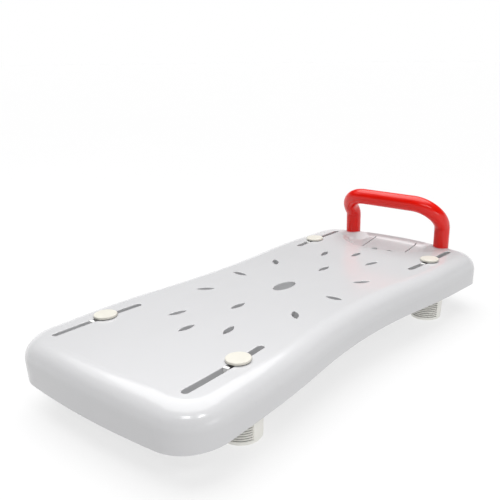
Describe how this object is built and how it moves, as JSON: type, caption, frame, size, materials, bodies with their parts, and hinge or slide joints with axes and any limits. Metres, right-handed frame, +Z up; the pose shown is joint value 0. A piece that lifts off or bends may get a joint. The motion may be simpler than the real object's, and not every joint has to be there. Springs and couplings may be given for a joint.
{
  "type": "bath transfer board",
  "caption": "Waisted bath transfer board with drain holes, a dish and a raised grab handle at one end, and ribbed rubber feet that slide in slots to grip the bath.",
  "frame": {"origin": "on the floor that the feet stand on, under the middle of the board", "axes": "+X along the board towards the end with the handle, +Y across the board, +Z up"},
  "size_m": [0.709, 0.333, 0.1902],
  "materials": {
    "seat_white": "glossy moulded",
    "handle_red": "satin sleeve",
    "tube_steel": "drawn tube",
    "plug_alloy": "turned",
    "fastener_steel": "stainless",
    "cap_cream": "fine satin",
    "guide_white": "moulded",
    "core_grey": "moulded",
    "boot_ivory": "soft matt"
  },
  "bodies": {
    "board": {"board": "seat_white", "handle_sleeve": "handle_red", "handle_core": "tube_steel", "handle_plugs": "plug_alloy", "handle_bolts": "fastener_steel", "handle_washers": "fastener_steel"},
    "carriage_plain_left": {"foot_cap_plain_left": "cap_cream", "foot_bolt_plain_left": "fastener_steel", "foot_guide_plain_left": "guide_white"},
    "foot_plain_left": {"foot_washer_plain_left": "fastener_steel", "foot_core_plain_left": "core_grey", "foot_nut_plain_left": "fastener_steel", "foot_boot_plain_left": "boot_ivory"},
    "carriage_plain_right": {"foot_cap_plain_right": "cap_cream", "foot_bolt_plain_right": "fastener_steel", "foot_guide_plain_right": "guide_white"},
    "foot_plain_right": {"foot_washer_plain_right": "fastener_steel", "foot_core_plain_right": "core_grey", "foot_nut_plain_right": "fastener_steel", "foot_boot_plain_right": "boot_ivory"},
    "carriage_handle_left": {"foot_cap_handle_left": "cap_cream", "foot_bolt_handle_left": "fastener_steel", "foot_guide_handle_left": "guide_white"},
    "foot_handle_left": {"foot_washer_handle_left": "fastener_steel", "foot_core_handle_left": "core_grey", "foot_nut_handle_left": "fastener_steel", "foot_boot_handle_left": "boot_ivory"},
    "carriage_handle_right": {"foot_cap_handle_right": "cap_cream", "foot_bolt_handle_right": "fastener_steel", "foot_guide_handle_right": "guide_white"},
    "foot_handle_right": {"foot_washer_handle_right": "fastener_steel", "foot_core_handle_right": "core_grey", "foot_nut_handle_right": "fastener_steel", "foot_boot_handle_right": "boot_ivory"}
  },
  "joints": [
    {"name": "slide_plain_left", "type": "slide", "parent": "board", "child": "carriage_plain_left", "axis": [-0.9991, 0.0429, 0], "range_m": [-0.0442, 0.0488]},
    {"name": "turn_plain_left", "type": "hinge", "parent": "carriage_plain_left", "child": "foot_plain_left", "pos_m": [-0.2342, 0.11604, 0.03], "axis": [0, 0, 1], "range_deg": [0, 180]},
    {"name": "slide_plain_right", "type": "slide", "parent": "board", "child": "carriage_plain_right", "axis": [-0.9991, -0.0429, 0], "range_m": [-0.0335, 0.0595]},
    {"name": "turn_plain_right", "type": "hinge", "parent": "carriage_plain_right", "child": "foot_plain_right", "pos_m": [-0.2235, -0.11558, 0.03], "axis": [0, 0, 1], "range_deg": [0, 180]},
    {"name": "slide_handle_left", "type": "slide", "parent": "board", "child": "carriage_handle_left", "axis": [0.9991, 0.0429, 0], "range_m": [-0.026, 0.068]},
    {"name": "turn_handle_left", "type": "hinge", "parent": "carriage_handle_left", "child": "foot_handle_left", "pos_m": [0.232, 0.11595, 0.03], "axis": [0, 0, 1], "range_deg": [0, 180]},
    {"name": "slide_handle_right", "type": "slide", "parent": "board", "child": "carriage_handle_right", "axis": [0.9991, -0.0429, 0], "range_m": [-0.035, 0.059]},
    {"name": "turn_handle_right", "type": "hinge", "parent": "carriage_handle_right", "child": "foot_handle_right", "pos_m": [0.241, -0.11634, 0.03], "axis": [0, 0, 1], "range_deg": [0, 180]}
  ]
}
